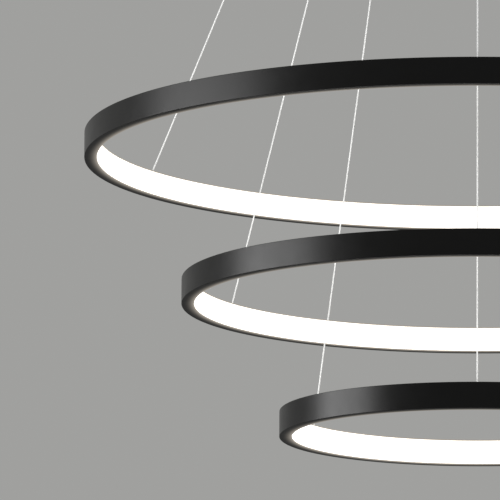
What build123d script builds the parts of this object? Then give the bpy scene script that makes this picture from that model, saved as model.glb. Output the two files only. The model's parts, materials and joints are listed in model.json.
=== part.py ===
from build123d import *

import os
from math import atan2, cos, degrees, pi, radians, sin, sqrt, tan

# Led ring chandelier: three level rings of light, one below the other, each hung on three taut wires that
# lean in to a round ceiling canopy. Millimetres. The origin is the centre of the ceiling bracket's upper
# face, +Z points up and the front is towards -Y.

# ---------------------------------------------------------------- driving dimensions: the rings
ring1_diameter = 800.0
ring2_diameter = 600.0
ring3_diameter = 400.0
ring1_drop = 600.0          # height of the free wire, from the gripper's nose to the ring's top
ring2_drop = 749.2
ring3_drop = 884.2
profile_depth = 13.0        # radial
profile_height = 26.0
profile_web = 1.2           # outer wall
profile_flange = 0.8        # top and bottom
profile_edge_radius = 0.5
butt_gap = 0.4              # where the rolled profile's two ends meet
rib_depth = 0.6             # small stop behind the diffuser
rib_height = 0.6

# ---------------------------------------------------------------- driving dimensions: light and diffuser
diffuser_face = 1.2
diffuser_leg_length = 1.4
diffuser_leg_wall = 0.8
diffuser_play = 0.2
strip_width = 10.0
strip_thickness = 0.25
strip_bond = 0.15           # adhesive between the strip and the outer wall
strip_end_gap = 2.0
chip_length = 3.5
chip_width = 2.8
chip_height = 0.8
chip_pitch = 17.4
chip_groups = 12            # the chips come in twelve equal runs, so that no chip faces a wire
lead_diameter = 1.0
lead_bend = 2.0

# ---------------------------------------------------------------- driving dimensions: joint in the profile
splice_length = 50.0
splice_width = 6.5
splice_thickness = 1.5
splice_clearance = 0.3
splice_screw_diameter = 2.5
splice_screw_head_diameter = 4.5
splice_screw_head_height = 1.4
splice_screw_inset = 7.0    # from the joint to the nearer screw
splice_screw_spacing = 11.0

# ---------------------------------------------------------------- driving dimensions: wires and anchors
wire_diameter = 1.3
wire_play = 0.1             # radial, in a bush
bush_neck_diameter = 4.0
bush_collar_diameter = 6.0
bush_collar_height = 1.5
ferrule_diameter = 3.6
ferrule_length = 6.0
fit_play = 0.05             # radial, between a screw or bush and its hole

# ---------------------------------------------------------------- driving dimensions: canopy
canopy_diameter = 250.0
canopy_height = 45.0        # ceiling to the underside
canopy_wall = 1.2
canopy_edge_radius = 4.0
canopy_rim_gap = 0.5        # rim to ceiling
gripper_circle1 = 95.0      # radius of the three grippers of each ring
gripper_circle2 = 77.0
gripper_circle3 = 61.0
stud_diameter = 4.0
stud_length = 8.0
nut4_flats = 7.0
nut4_height = 3.2

# ---------------------------------------------------------------- driving dimensions: wire grippers
barrel_diameter = 12.0
barrel_length = 12.0
barrel_edge = 0.5
mouth_depth = 2.0
chamber_diameter = 7.4
chamber_roof = 1.0          # solid metal left under the canopy
shank_diameter = 8.0
shank_length = 14.0
shank_bore = 2.4
nut8_flats = 13.0
nut8_height = 4.0
plunger_nose_diameter = 5.0
plunger_nose_length = 6.0   # stands out of the barrel
plunger_play = 0.1
plunger_collar_diameter = 6.8
plunger_collar_height = 2.0
plunger_neck_diameter = 3.6
plunger_travel = 2.5
plunger_spare = 0.5         # left above the neck when it is pressed home
plunger_bore = 1.6
plunger_nose_edge = 0.6

# ---------------------------------------------------------------- driving dimensions: bracket and screws
bracket_width = 25.0
bracket_thickness = 2.0
bracket_ear_height = 24.0
bracket_to_wall = 0.3
ceiling_slot_spacing = 100.0
ceiling_slot_width = 5.2
ceiling_slot_length = 20.0
supply_hole_diameter = 12.0
cover_screw_diameter = 4.0
cover_screw_head_diameter = 8.0
cover_screw_head_height = 3.0
cover_screw_drop = 15.0     # ceiling to the screw's axis
cover_screw_clearance = 0.15
cover_screw_overrun = 1.5   # past the ear

# ---------------------------------------------------------------- driving dimensions: electrics
driver_length = 110.0
driver_depth = 38.0
driver_height = 24.0
driver_edge = 2.0
driver_setback = 41.8       # canopy wall to the driver's middle
driver_tab_length = 10.0
driver_tab_width = 16.0
driver_tab_thickness = 3.0
terminal_length = 34.0
terminal_depth = 16.0
terminal_height = 14.0
terminal_setback = 55.8     # canopy wall to the block's middle, along X
terminal_y = -42.0
terminal_tab_length = 10.0
terminal_tab_thickness = 3.0
pole_pitch = 10.0
pole_hole_diameter = 3.0
pole_hole_depth = 5.0
pole_height = 6.8           # wire entry above the block's foot
pole_screw_diameter = 3.2
pole_screw_head_depth = 0.8
pole_screw_slot = 0.6       # width and depth of the screwdriver slot
cable_diameter = 1.8        # insulated leads inside the canopy
cable_bend = 3.0
cable_level = -12.0         # height at which the output leads cross over the grippers
driver_lead_level = -30.0
output_pitch = 8.0
output_lane = 5.0           # sideways step between the leads' risers
output_first_lane = 8.0     # from the driver's end to the nearest riser
supply_lead_x = 20.0
supply_lead_straight = 14.0
supply_lead_turn_y = 25.0
tail_rise = 3.0             # wire above the gripper before it bends over
tail_bend = 6.0
tail_run = 18.0
crimp_diameter = 3.0
crimp_length = 8.0
crimp_to_riser = 6.0
earth_setback = 25.8        # canopy wall to the earth stud, along X
earth_y = -14.0
earth_lug_diameter = 9.0
earth_lug_tail = 10.0
earth_lug_width = 4.0
earth_lug_thickness = 0.8

overcut = 1.0               # how far a hole's cutter runs past the faces it opens

# ---------------------------------------------------------------- what follows from them
rings = {
    "ring1": (ring1_diameter / 2, ring1_drop, gripper_circle1),
    "ring2": (ring2_diameter / 2, ring2_drop, gripper_circle2),
    "ring3": (ring3_diameter / 2, ring3_drop, gripper_circle3),
}
azimuths = {"front": 270.0, "left": 150.0, "right": 30.0}
tail_turn = {"front": 1, "left": 1, "right": -1}        # which way a wire's tail bends inside the canopy
live_sides = ("left", "right")                          # the wires that also carry the current

canopy_foot = -canopy_height
canopy_floor = canopy_foot + canopy_wall
canopy_inner_radius = canopy_diameter / 2 - canopy_wall
nose_tip = canopy_foot - barrel_length - plunger_nose_length
driver_y = canopy_inner_radius - driver_setback
terminal_x = canopy_inner_radius - terminal_setback
earth_x = canopy_inner_radius - earth_setback
wire_radius = wire_diameter / 2
anchor_inset = profile_depth / 2
bush_bore_radius = wire_radius + wire_play
strip_middle = -profile_height / 2
collar_foot = -profile_flange - bush_collar_height
ferrule_foot = collar_foot - ferrule_length
tail_level = canopy_foot + shank_length + tail_rise + tail_bend


def ring_top(name):
    return nose_tip - rings[name][1]


def polar(radius, azimuth, z=0.0):
    return Vector(radius * cos(radians(azimuth)), radius * sin(radians(azimuth)), z)


def tube(outer, inner, low, high):
    height = high - low
    middle = Pos(0, 0, (low + high) / 2)
    return middle * (Cylinder(outer, height) - Cylinder(inner, height))


def rod(radius, low, high):
    return Pos(0, 0, (low + high) / 2) * Cylinder(radius, high - low)


def rod_between(start, end, radius):
    path = Line(start, end)
    return sweep(Plane(origin=start, z_dir=end - start) * Circle(radius), path=path)


def block(x0, x1, y0, y1, z0, z1):
    centre = Pos((x0 + x1) / 2, (y0 + y1) / 2, (z0 + z1) / 2)
    return centre * Box(x1 - x0, y1 - y0, z1 - z0)


def bent_lead(points, radius, bend):
    path = FilletPolyline(*points, radius=bend)
    start = Plane(origin=path @ 0, z_dir=path % 0)
    return sweep(start * Circle(radius), path=path)


def cell(inner, outer, low, high):
    """a rectangle of a ring's cross-section: radii across, heights up"""
    return Pos((inner + outer) / 2, (low + high) / 2) * Rectangle(outer - inner, high - low)


def hoop(section, opening, z):
    """the section turned about Z, open by the given length at the right-hand side"""
    reach = section.bounding_box().max.X
    gap = degrees(opening / reach)
    turned = revolve(Plane.XZ * section, axis=Axis.Z, revolution_arc=360 - gap)
    return Pos(0, 0, z) * Rot(0, 0, gap / 2) * turned


def hex_nut(flats, height, bore, low):
    prism = extrude(RegularPolygon(flats / 2, 6, major_radius=False), height)
    return Pos(0, 0, low) * (prism - Pos(0, 0, height / 2) * Cylinder(bore, height))


def save(name, solids):
    shape = Compound(children=list(solids)) if isinstance(solids, (list, tuple)) else solids
    shape.label = name
    export_step(shape, f"parts/{name}.step")


# ---------------------------------------------------------------- one ring
def anchor_places(name):
    """where the three wires meet the ring's top, half way across the flange"""
    return [polar(rings[name][0] - anchor_inset, azimuth, ring_top(name)) for azimuth in azimuths.values()]


def splice_screw_azimuths(radius):
    offsets = (splice_screw_inset, splice_screw_inset + splice_screw_spacing)
    return [side * degrees(step / radius) for side in (-1, 1) for step in offsets]


def splice_radii(radius):
    outer = radius - profile_web - splice_clearance
    return outer - splice_width, outer


def ring_profile(name):
    radius = rings[name][0]
    inner = radius - profile_depth
    rib_start = inner + diffuser_face + diffuser_leg_length
    section = cell(inner, radius, -profile_height, 0)
    corners = section.vertices().group_by(Axis.X)[-1]
    section = fillet(corners, profile_edge_radius)
    section -= cell(inner, radius - profile_web, profile_flange - profile_height, -profile_flange)
    section += cell(rib_start, rib_start + rib_depth, -profile_flange - rib_height, -profile_flange)
    foot = profile_flange - profile_height
    section += cell(rib_start, rib_start + rib_depth, foot, foot + rib_height)
    shell = hoop(section, butt_gap, ring_top(name))
    for place in anchor_places(name):
        shell -= Pos(place) * rod(bush_neck_diameter / 2 + fit_play, -profile_flange - overcut, overcut)
    low, high = splice_radii(radius)
    for azimuth in splice_screw_azimuths((low + high) / 2):
        hole = rod(splice_screw_diameter / 2 + fit_play, -profile_flange - overcut, overcut)
        shell -= Pos(polar((low + high) / 2, azimuth, ring_top(name))) * hole
    return shell


def ring_diffuser(name):
    inner = rings[name][0] - profile_depth
    low = profile_flange - profile_height
    high = -profile_flange - diffuser_play
    leg_end = inner + diffuser_face + diffuser_leg_length
    section = cell(inner, inner + diffuser_face, low, high)
    section += cell(inner, leg_end, low, low + diffuser_leg_wall)
    section += cell(inner, leg_end, high - diffuser_leg_wall, high)
    return hoop(section, butt_gap, ring_top(name))


def strip_back(name):
    return rings[name][0] - profile_web - strip_bond


def ring_led_strip(name):
    back = strip_back(name)
    low = strip_middle - strip_width / 2
    section = cell(back - strip_thickness, back, low, low + strip_width)
    return hoop(section, strip_end_gap, ring_top(name))


def ring_led_chips(name):
    face = strip_back(name) - strip_thickness
    seat = sqrt(face ** 2 - (chip_length / 2) ** 2)     # a flat back on the curved strip
    count = chip_groups * max(1, round(2 * pi * face / chip_pitch / chip_groups))
    chip = Box(chip_height, chip_length, chip_width)
    place = Pos(seat - chip_height / 2, 0, ring_top(name) + strip_middle)
    return [Rot(0, 0, (number + 0.5) * 360 / count) * place * chip for number in range(count)]


def ring_splice_plates(name):
    radius = rings[name][0]
    low, high = splice_radii(radius)
    middle = (low + high) / 2
    arc = degrees(splice_length / middle)
    top_foot = -profile_flange - splice_thickness
    foot = profile_flange - profile_height
    plates = []
    for z in (top_foot, foot):
        section = Plane.XZ * cell(low, high, z, z + splice_thickness)
        plate = Rot(0, 0, -arc / 2) * revolve(section, axis=Axis.Z, revolution_arc=arc)
        plates.append(Pos(0, 0, ring_top(name)) * plate)
    for azimuth in splice_screw_azimuths(middle):
        hole = rod(splice_screw_diameter / 2 + fit_play, top_foot - overcut, overcut)
        plates[0] -= Pos(polar(middle, azimuth, ring_top(name))) * hole
    return plates


def ring_splice_screws(name):
    low, high = splice_radii(rings[name][0])
    middle = (low + high) / 2
    screw = rod(splice_screw_head_diameter / 2, 0, splice_screw_head_height)
    screw += rod(splice_screw_diameter / 2, -profile_flange - splice_thickness, 0)
    return [Pos(polar(middle, azimuth, ring_top(name))) * screw for azimuth in splice_screw_azimuths(middle)]


def ring_wire_bushes(name):
    bush = tube(bush_neck_diameter / 2, bush_bore_radius, -profile_flange, 0)
    bush += tube(bush_collar_diameter / 2, bush_bore_radius, collar_foot, -profile_flange)
    return [Pos(place) * bush for place in anchor_places(name)]


def ring_wire_ends(name):
    """the wire's lower end, straight through the bush, with the ferrule crimped on it"""
    end = rod(wire_radius, collar_foot, 0) + rod(ferrule_diameter / 2, ferrule_foot, collar_foot)
    return [Pos(place) * end for place in anchor_places(name)]


def ring_leads(name):
    start = rings[name][0] - anchor_inset
    end = strip_back(name) - strip_thickness
    points = ((start, 0, ferrule_foot), (start, 0, strip_middle), (end, 0, strip_middle))
    lead = bent_lead(points, lead_diameter / 2, lead_bend)
    return [Pos(0, 0, ring_top(name)) * Rot(0, 0, azimuths[side]) * lead for side in live_sides]


def ring_wire(name, side):
    """the free run, from the gripper's nose down to the ring's top, cut level at both ends"""
    radius, drop, circle = rings[name]
    lean = atan2(radius - anchor_inset - circle, drop)
    upper = Vector(circle, 0, nose_tip)
    lower = Vector(radius - anchor_inset, 0, ring_top(name))
    along = (lower - upper).normalized()
    spare = wire_diameter * (1 + tan(abs(lean)))
    run = rod_between(upper - along * spare, lower + along * spare, wire_radius)
    span = 2 * radius
    run &= block(-span, span, -span, span, ring_top(name), nose_tip)
    return Rot(0, 0, azimuths[side]) * run


# ---------------------------------------------------------------- wire grippers
def gripper_places():
    return [(name, side, polar(rings[name][2], azimuths[side])) for name in rings for side in azimuths]


def gripper_body():
    """heights from the canopy's underside"""
    barrel = rod(barrel_diameter / 2, -barrel_length, 0)
    barrel = chamfer(barrel.edges().filter_by(GeomType.CIRCLE), barrel_edge)
    body = barrel + rod(shank_diameter / 2, 0, shank_length)
    ledge = -barrel_length + mouth_depth
    body -= rod(plunger_nose_diameter / 2 + plunger_play, -barrel_length - overcut, ledge)
    body -= rod(chamber_diameter / 2, ledge, -chamber_roof)
    body -= rod(shank_bore / 2, -chamber_roof - overcut, shank_length + overcut)
    return body


def gripper_plunger():
    collar_low = -barrel_length + mouth_depth
    nose_low = -barrel_length - plunger_nose_length
    nose = rod(plunger_nose_diameter / 2, nose_low, collar_low)
    nose = chamfer(nose.edges().group_by(Axis.Z)[0], plunger_nose_edge)
    plunger = nose + rod(plunger_collar_diameter / 2, collar_low, collar_low + plunger_collar_height)
    neck_top = -chamber_roof - plunger_travel - plunger_spare
    plunger += rod(plunger_neck_diameter / 2, collar_low + plunger_collar_height, neck_top)
    plunger -= rod(plunger_bore / 2, nose_low - overcut, neck_top + overcut)
    return plunger


def gripper_nut():
    return hex_nut(nut8_flats, nut8_height, shank_diameter / 2 + fit_play, canopy_wall)


def tail_direction(side):
    turn = tail_turn[side]
    return polar(1.0, azimuths[side] + 90.0 * turn)


def tail_end(name, side):
    return polar(rings[name][2], azimuths[side], tail_level) + tail_direction(side) * tail_run


def wire_tail(name, side):
    foot = polar(rings[name][2], azimuths[side], nose_tip)
    top = polar(rings[name][2], azimuths[side], tail_level)
    return bent_lead((foot, top, tail_end(name, side)), wire_radius, tail_bend)


# ---------------------------------------------------------------- canopy and bracket
def bracket_ear_face():
    """the flat ear stands just inside the round wall"""
    return sqrt((canopy_inner_radius - bracket_to_wall) ** 2 - (bracket_width / 2) ** 2)


def stud_places():
    tab_x = driver_length / 2 + driver_tab_length / 2
    terminal_tab_x = terminal_x + terminal_length / 2 + terminal_tab_length / 2
    return {
        "driver_left": (-tab_x, driver_y, driver_tab_thickness),
        "driver_right": (tab_x, driver_y, driver_tab_thickness),
        "terminal": (terminal_tab_x, terminal_y, terminal_tab_thickness),
        "earth": (earth_x, earth_y, earth_lug_thickness),
    }


def canopy_cover():
    depth = canopy_height - canopy_rim_gap
    drum = rod(canopy_diameter / 2, canopy_foot, canopy_foot + depth)
    drum = fillet(drum.edges().group_by(Axis.Z)[0], canopy_edge_radius)
    hollow = rod(canopy_inner_radius, canopy_floor, canopy_wall)
    inner_edge = canopy_edge_radius - canopy_wall
    if inner_edge > 0:
        hollow = fillet(hollow.edges().group_by(Axis.Z)[0], inner_edge)
    cover = drum - hollow
    for _, _, place in gripper_places():
        hole = rod(shank_diameter / 2 + fit_play, canopy_foot - overcut, canopy_floor + overcut)
        cover -= Pos(place.X, place.Y, 0) * hole
    for x, y, _ in stud_places().values():
        cover += Pos(x, y, 0) * rod(stud_diameter / 2, canopy_floor, canopy_floor + stud_length)
    for side in (-1, 1):
        hole = Cylinder(cover_screw_diameter / 2 + cover_screw_clearance, 4 * canopy_wall)
        cover -= Pos(side * canopy_diameter / 2, 0, -cover_screw_drop) * Rot(0, 90, 0) * hole
    return cover


def ceiling_bracket():
    reach = bracket_ear_face()
    half = bracket_width / 2
    bracket = block(-reach, reach, -half, half, -bracket_thickness, 0)
    for side in (-1, 1):
        ear_x = sorted((side * reach, side * (reach - bracket_thickness)))
        bracket += block(*ear_x, -half, half, -bracket_ear_height, 0)
        screw = Cylinder(cover_screw_diameter / 2 + fit_play, 4 * bracket_thickness)
        bracket -= Pos(side * reach, 0, -cover_screw_drop) * Rot(0, 90, 0) * screw
        slot = SlotOverall(ceiling_slot_length, ceiling_slot_width)
        slot_x = side * ceiling_slot_spacing / 2
        bracket -= Pos(slot_x, 0, -2 * bracket_thickness) * extrude(slot, 3 * bracket_thickness)
    return bracket - rod(supply_hole_diameter / 2, -2 * bracket_thickness, bracket_thickness)


def cover_screws():
    shank_end = bracket_ear_face() - bracket_thickness - cover_screw_overrun
    head_seat = canopy_diameter / 2
    shank = rod(cover_screw_diameter / 2, shank_end, head_seat)
    head = rod(cover_screw_head_diameter / 2, head_seat, head_seat + cover_screw_head_height)
    screw = shank + head
    return [Pos(0, 0, -cover_screw_drop) * Rot(0, 90 * side, 0) * screw for side in (-1, 1)]


# ---------------------------------------------------------------- electrics
def led_driver():
    half_x, half_y = driver_length / 2, driver_depth / 2
    near, far = driver_y - half_y, driver_y + half_y
    box = block(-half_x, half_x, near, far, canopy_floor, canopy_floor + driver_height)
    box = fillet(box.edges().filter_by(Axis.Z), driver_edge)
    for side in (-1, 1):
        tab_x = sorted((side * (half_x - driver_edge), side * (half_x + driver_tab_length)))
        half_tab = driver_tab_width / 2
        tab_y = (driver_y - half_tab, driver_y + half_tab)
        box += block(*tab_x, *tab_y, canopy_floor, canopy_floor + driver_tab_thickness)
    for name in ("driver_left", "driver_right"):
        x, y, _ = stud_places()[name]
        tab_top = canopy_floor + driver_tab_thickness
        box -= Pos(x, y, 0) * rod(stud_diameter / 2 + fit_play, canopy_floor - overcut, tab_top + overcut)
    return box


def pole_places():
    return [terminal_x + step * pole_pitch for step in (-1, 0, 1)]


def terminal_block():
    half_x, half_y = terminal_length / 2, terminal_depth / 2
    low, top = canopy_floor, canopy_floor + terminal_height
    body = block(terminal_x - half_x, terminal_x + half_x, terminal_y - half_y, terminal_y + half_y, low, top)
    tab_end = terminal_x + half_x + terminal_tab_length
    tab_y = (terminal_y - half_y, terminal_y + half_y)
    tab_top = low + terminal_tab_thickness
    body += block(terminal_x, tab_end, *tab_y, low, tab_top)
    x, y, _ = stud_places()["terminal"]
    body -= Pos(x, y, 0) * rod(stud_diameter / 2 + fit_play, low - overcut, tab_top + overcut)
    for x in pole_places():
        for side in (-1, 1):
            mouth = Pos(x, terminal_y + side * half_y, low + pole_height) * Rot(90, 0, 0)
            body -= mouth * Cylinder(pole_hole_diameter / 2, 2 * pole_hole_depth)
            recess = rod(pole_screw_diameter / 2 + fit_play, low + pole_height, top + overcut)
            body -= Pos(x, terminal_y + side * half_y / 2, 0) * recess
    return body


def terminal_screws():
    head_top = canopy_floor + terminal_height - pole_screw_head_depth
    foot = canopy_floor + pole_height + pole_hole_diameter / 2
    screw = rod(pole_screw_diameter / 2, foot, head_top)
    half = pole_screw_slot / 2
    slot_z = (head_top - pole_screw_slot, head_top + overcut)
    screw -= block(-pole_screw_diameter, pole_screw_diameter, -half, half, *slot_z)
    half_y = terminal_depth / 2
    return [Pos(x, terminal_y + side * half_y / 2, 0) * screw for x in pole_places() for side in (-1, 1)]


def stud_nuts():
    bore = stud_diameter / 2 + fit_play
    return [
        Pos(x, y, 0) * hex_nut(nut4_flats, nut4_height, bore, canopy_floor + seat)
        for x, y, seat in stud_places().values()
    ]


def tail_crimps():
    crimps = []
    for name in rings:
        for side in live_sides:
            start = tail_end(name, side)
            crimps.append(rod_between(start, start + tail_direction(side) * crimp_length, crimp_diameter / 2))
    return crimps


def output_leads():
    """from each live wire's crimp up, over the grippers, and down into the driver's end"""
    leads = []
    for number, name in enumerate(rings):
        for side, sign in (("left", -1), ("right", 1)):
            start = tail_end(name, side) + tail_direction(side) * crimp_length
            turn = start + tail_direction(side) * crimp_to_riser
            crossing = Vector(turn.X, turn.Y, cable_level)
            lane = driver_length / 2 + output_first_lane + (2 - number) * output_lane
            row = driver_y + (number - 1.5) * output_pitch
            above = Vector(sign * lane, row, cable_level)
            below = Vector(sign * lane, row, driver_lead_level)
            entry = Vector(sign * driver_length / 2, row, driver_lead_level)
            points = (start, turn, crossing, above, below, entry)
            leads.append(bent_lead(points, cable_diameter / 2, cable_bend))
    return leads


def supply_leads():
    entry_z = canopy_floor + pole_height
    face = terminal_y + terminal_depth / 2
    front = driver_y - driver_depth / 2
    leads = []
    for number, x in enumerate(pole_places()[:2]):
        driver_x = supply_lead_x + number * pole_pitch
        points = (
            Vector(x, face - pole_hole_depth, entry_z),
            Vector(x, face + supply_lead_straight, entry_z),
            Vector(driver_x, supply_lead_turn_y, driver_lead_level),
            Vector(driver_x, front, driver_lead_level),
        )
        leads.append(bent_lead(points, cable_diameter / 2, cable_bend))
    return leads


def earth_lead():
    entry_z = canopy_floor + pole_height
    face = terminal_y + terminal_depth / 2
    lug_x = earth_x - earth_lug_tail + earth_lug_width / 2
    lug_top = canopy_floor + earth_lug_thickness
    x = pole_places()[2]
    points = (
        Vector(x, face - pole_hole_depth, entry_z),
        Vector(x, earth_y, entry_z),
        Vector(lug_x, earth_y, entry_z),
        Vector(lug_x, earth_y, lug_top - earth_lug_thickness / 2),
    )
    lead = bent_lead(points, cable_diameter / 2, cable_bend)
    half = earth_lug_width / 2
    lug = Pos(earth_x, earth_y, 0) * rod(earth_lug_diameter / 2, canopy_floor, lug_top)
    tail = (earth_x - earth_lug_tail, earth_x)
    lug += block(*tail, earth_y - half, earth_y + half, canopy_floor, lug_top)
    hole = rod(stud_diameter / 2 + fit_play, canopy_floor - overcut, lug_top + overcut)
    lug -= Pos(earth_x, earth_y, 0) * hole
    return lead + lug


# ---------------------------------------------------------------- write every piece
def main():
    os.makedirs("parts", exist_ok=True)
    for name in rings:
        save(f"{name}_profile", ring_profile(name))
        save(f"{name}_diffuser", ring_diffuser(name))
        save(f"{name}_led_strip", ring_led_strip(name))
        save(f"{name}_led_chips", ring_led_chips(name))
        save(f"{name}_splice_plates", ring_splice_plates(name))
        save(f"{name}_splice_screws", ring_splice_screws(name))
        save(f"{name}_wire_bushes", ring_wire_bushes(name))
        save(f"{name}_wire_ends", ring_wire_ends(name))
        save(f"{name}_leads", ring_leads(name))
        for side in azimuths:
            save(f"{name}_wire_{side}", ring_wire(name, side))
    for name, side, place in gripper_places():
        save(f"{name}_plunger_{side}", Pos(place.X, place.Y, canopy_foot) * gripper_plunger())
    seats = [Pos(place.X, place.Y, canopy_foot) for _, _, place in gripper_places()]
    save("gripper_bodies", [seat * gripper_body() for seat in seats])
    save("gripper_nuts", [seat * gripper_nut() for seat in seats])
    save("wire_tails", [wire_tail(name, side) for name, side, _ in gripper_places()])
    save("tail_crimps", tail_crimps())
    save("output_leads", output_leads())
    save("canopy_cover", canopy_cover())
    save("ceiling_bracket", ceiling_bracket())
    save("cover_screws", cover_screws())
    save("led_driver", led_driver())
    save("stud_nuts", stud_nuts())
    save("terminal_block", terminal_block())
    save("terminal_screws", terminal_screws())
    save("supply_leads", supply_leads())
    save("earth_lead", earth_lead())


main()
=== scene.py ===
"""Led ring chandelier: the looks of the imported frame.

Three rolled black profiles with a lit opal diffuser inside, nine taut wires, and a round ceiling canopy with
its wire grippers. Metres, in the frame's own axes: +Z is up and the front is towards -Y.
"""
import json
from math import atan2, cos, degrees, pi, radians, sin, sqrt, tau

import bmesh
import bpy
from bpy.props import FloatProperty, FloatVectorProperty, IntProperty, PointerProperty
from mathutils import Matrix, Vector

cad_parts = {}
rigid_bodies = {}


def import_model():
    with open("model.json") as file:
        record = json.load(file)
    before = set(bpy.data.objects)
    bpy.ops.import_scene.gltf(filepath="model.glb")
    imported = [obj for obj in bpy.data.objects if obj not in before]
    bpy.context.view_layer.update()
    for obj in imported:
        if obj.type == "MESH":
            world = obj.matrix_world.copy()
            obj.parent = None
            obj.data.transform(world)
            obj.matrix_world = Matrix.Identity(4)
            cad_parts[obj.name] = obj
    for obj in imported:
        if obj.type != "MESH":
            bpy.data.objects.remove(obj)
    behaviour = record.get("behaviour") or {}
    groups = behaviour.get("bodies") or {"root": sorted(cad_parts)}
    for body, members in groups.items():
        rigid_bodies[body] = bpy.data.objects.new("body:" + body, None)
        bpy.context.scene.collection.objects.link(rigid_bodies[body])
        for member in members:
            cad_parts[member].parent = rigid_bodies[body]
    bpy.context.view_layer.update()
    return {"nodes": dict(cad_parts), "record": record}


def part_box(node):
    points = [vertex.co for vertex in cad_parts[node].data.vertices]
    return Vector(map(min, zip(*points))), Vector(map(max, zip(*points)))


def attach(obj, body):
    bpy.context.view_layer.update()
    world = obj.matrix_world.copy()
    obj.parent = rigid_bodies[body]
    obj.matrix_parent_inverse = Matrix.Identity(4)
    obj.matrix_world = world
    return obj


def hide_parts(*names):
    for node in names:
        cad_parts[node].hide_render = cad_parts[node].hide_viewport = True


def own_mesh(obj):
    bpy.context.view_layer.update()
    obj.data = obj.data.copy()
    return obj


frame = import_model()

bl_info = {
    "name": "Led ring chandelier",
    "version": (1, 0, 0),
    "blender": (4, 5, 0),
    "location": "View3D > Sidebar > Chandelier",
    "description": "Models and finishes a chandelier of three lit rings on its packed frame",
    "category": "Object",
}

RINGS = ("ring1", "ring2", "ring3")
SIDES = {"front": radians(270), "left": radians(150), "right": radians(30)}
MM = 0.001


# ---------------------------------------------------------------- sizes and colours a user would change
def length(name, description, millimetres):
    return FloatProperty(name=name, description=description, default=millimetres * MM, unit="LENGTH", precision=5)


def colour(name, description, value):
    return FloatVectorProperty(name=name, description=description, default=value, subtype="COLOR", min=0, max=1)


def share(name, description, value):
    return FloatProperty(name=name, description=description, default=value, subtype="FACTOR", min=0, max=1)


class RingSizes(bpy.types.PropertyGroup):
    """The rolled profile, its diffuser and what is fixed in its top"""

    depth: length("Profile depth", "From the lit face to the outer wall", 13.0)
    web: length("Outer wall", "Thickness of the profile's outer wall", 1.2)
    flange: length("Flange", "Thickness of the profile's top and bottom", 0.8)
    edge_radius: length("Edge radius", "Rounding of the outer wall's two edges", 0.5)
    lip_radius: length("Lip radius", "Rounding of the flanges' inner edges", 0.15)
    rib: length("Rib", "Side of the small stop behind the diffuser", 0.6)
    butt_gap: length("Butt gap", "Gap where the rolled profile's ends meet", 0.4)
    diffuser_face: length("Diffuser face", "Thickness of the opal face", 1.2)
    diffuser_leg: length("Diffuser leg", "Length of the legs that clip the diffuser in", 1.4)
    diffuser_leg_wall: length("Diffuser leg wall", "Thickness of the diffuser's legs", 0.8)
    diffuser_edge: length("Diffuser edge", "Rounding of the diffuser's edges", 0.25)
    steps: IntProperty(name="Steps", description="Steps round a ring", default=360, min=90, max=720)


class FittingSizes(bpy.types.PropertyGroup):
    """Wires, bushes, screws, grippers and plungers"""

    wire_diameter: length("Wire", "Diameter of a suspension wire", 1.3)
    bush_neck: length("Bush neck", "Diameter of the bush in the ring's top", 4.0)
    bush_collar: length("Bush collar", "Diameter of the bush under the flange", 6.0)
    bush_collar_height: length("Bush collar height", "Height of the bush's collar", 1.5)
    bush_play: length("Bush play", "Radial gap between a wire and its bush", 0.1)
    fit_play: length("Fit play", "Radial gap between a screw or bush and its hole", 0.05)
    splice_screw: length("Joint screw", "Diameter of the screws beside the butt joint", 2.5)
    splice_screw_head: length("Joint screw head", "Diameter of their heads", 4.5)
    splice_plate: length("Joining plate", "Thickness of the plate they hold", 1.5)
    barrel: length("Barrel", "Diameter of a gripper's barrel", 12.0)
    barrel_edge: length("Barrel edge", "Rounding of the barrel's edges", 0.5)
    shank: length("Shank", "Diameter of a gripper's threaded shank", 8.0)
    shank_bore: length("Shank bore", "Bore the wire leaves through", 2.4)
    thread_pitch: length("Thread pitch", "Pitch of the gripper's thread", 1.0)
    chamber: length("Chamber", "Diameter of the gripper's inside", 7.4)
    chamber_roof: length("Chamber roof", "Metal left above the gripper's inside", 1.0)
    mouth_depth: length("Mouth depth", "Depth of the gripper's mouth", 2.0)
    nose: length("Plunger nose", "Diameter of the release plunger", 5.0)
    nose_edge: length("Nose edge", "Rounding of the plunger's tip", 0.6)
    plunger_play: length("Plunger play", "Radial gap round the plunger's nose", 0.1)
    plunger_collar: length("Plunger collar", "Diameter of the collar that stops the plunger", 6.8)
    plunger_collar_height: length("Collar height", "Height of that collar", 2.0)
    plunger_neck: length("Plunger neck", "Diameter of the plunger's neck", 3.6)
    plunger_bore: length("Plunger bore", "Bore the wire passes through", 1.6)
    nut_flats: length("Nut", "Across the flats of a gripper's nut", 13.0)
    nut_height: length("Nut height", "Height of that nut", 4.0)


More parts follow.
